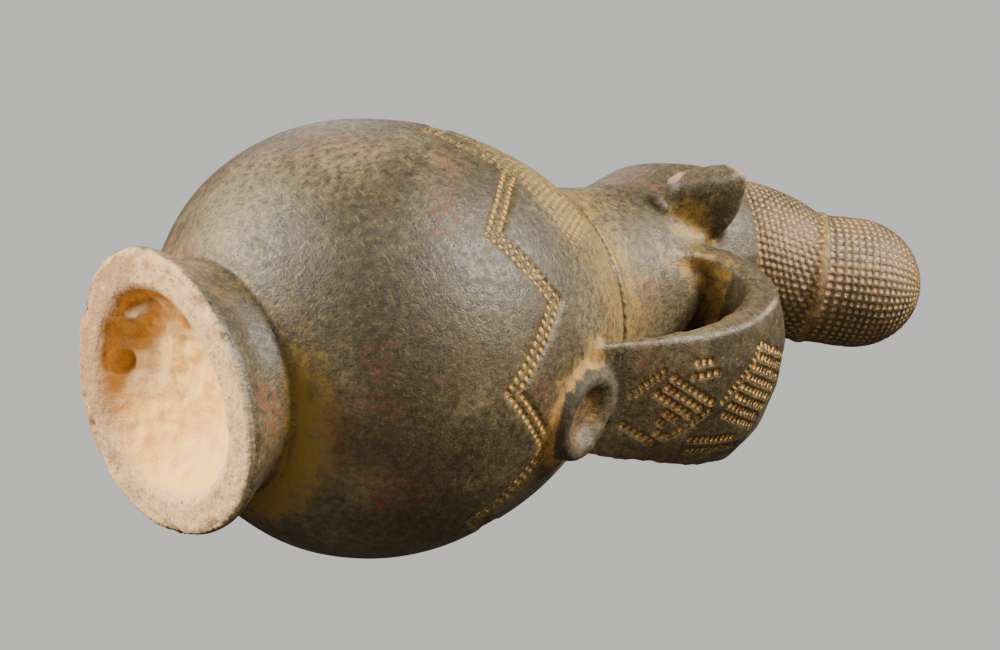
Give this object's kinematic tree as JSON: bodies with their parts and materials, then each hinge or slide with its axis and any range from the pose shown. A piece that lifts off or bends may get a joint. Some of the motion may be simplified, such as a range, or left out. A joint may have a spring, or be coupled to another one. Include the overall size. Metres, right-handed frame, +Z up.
{
  "type": "anthropomorphic jar",
  "caption": "Hollow clay jar with a globular body, flared foot, a head with swept-back hair as its neck, and a strap handle.",
  "frame": {"origin": "middle of the outline's footprint, on the plane the foot rests on", "axes": "+Z up from the foot to the hair, -Y towards the face, +Y towards the handle, +X towards the figure's left ear"},
  "size_m": [0.1462, 0.154, 0.3123],
  "materials": {
    "clay": "burnished dark terracotta"
  },
  "bodies": {
    "root": {"jar": "clay"}
  },
  "joints": []
}
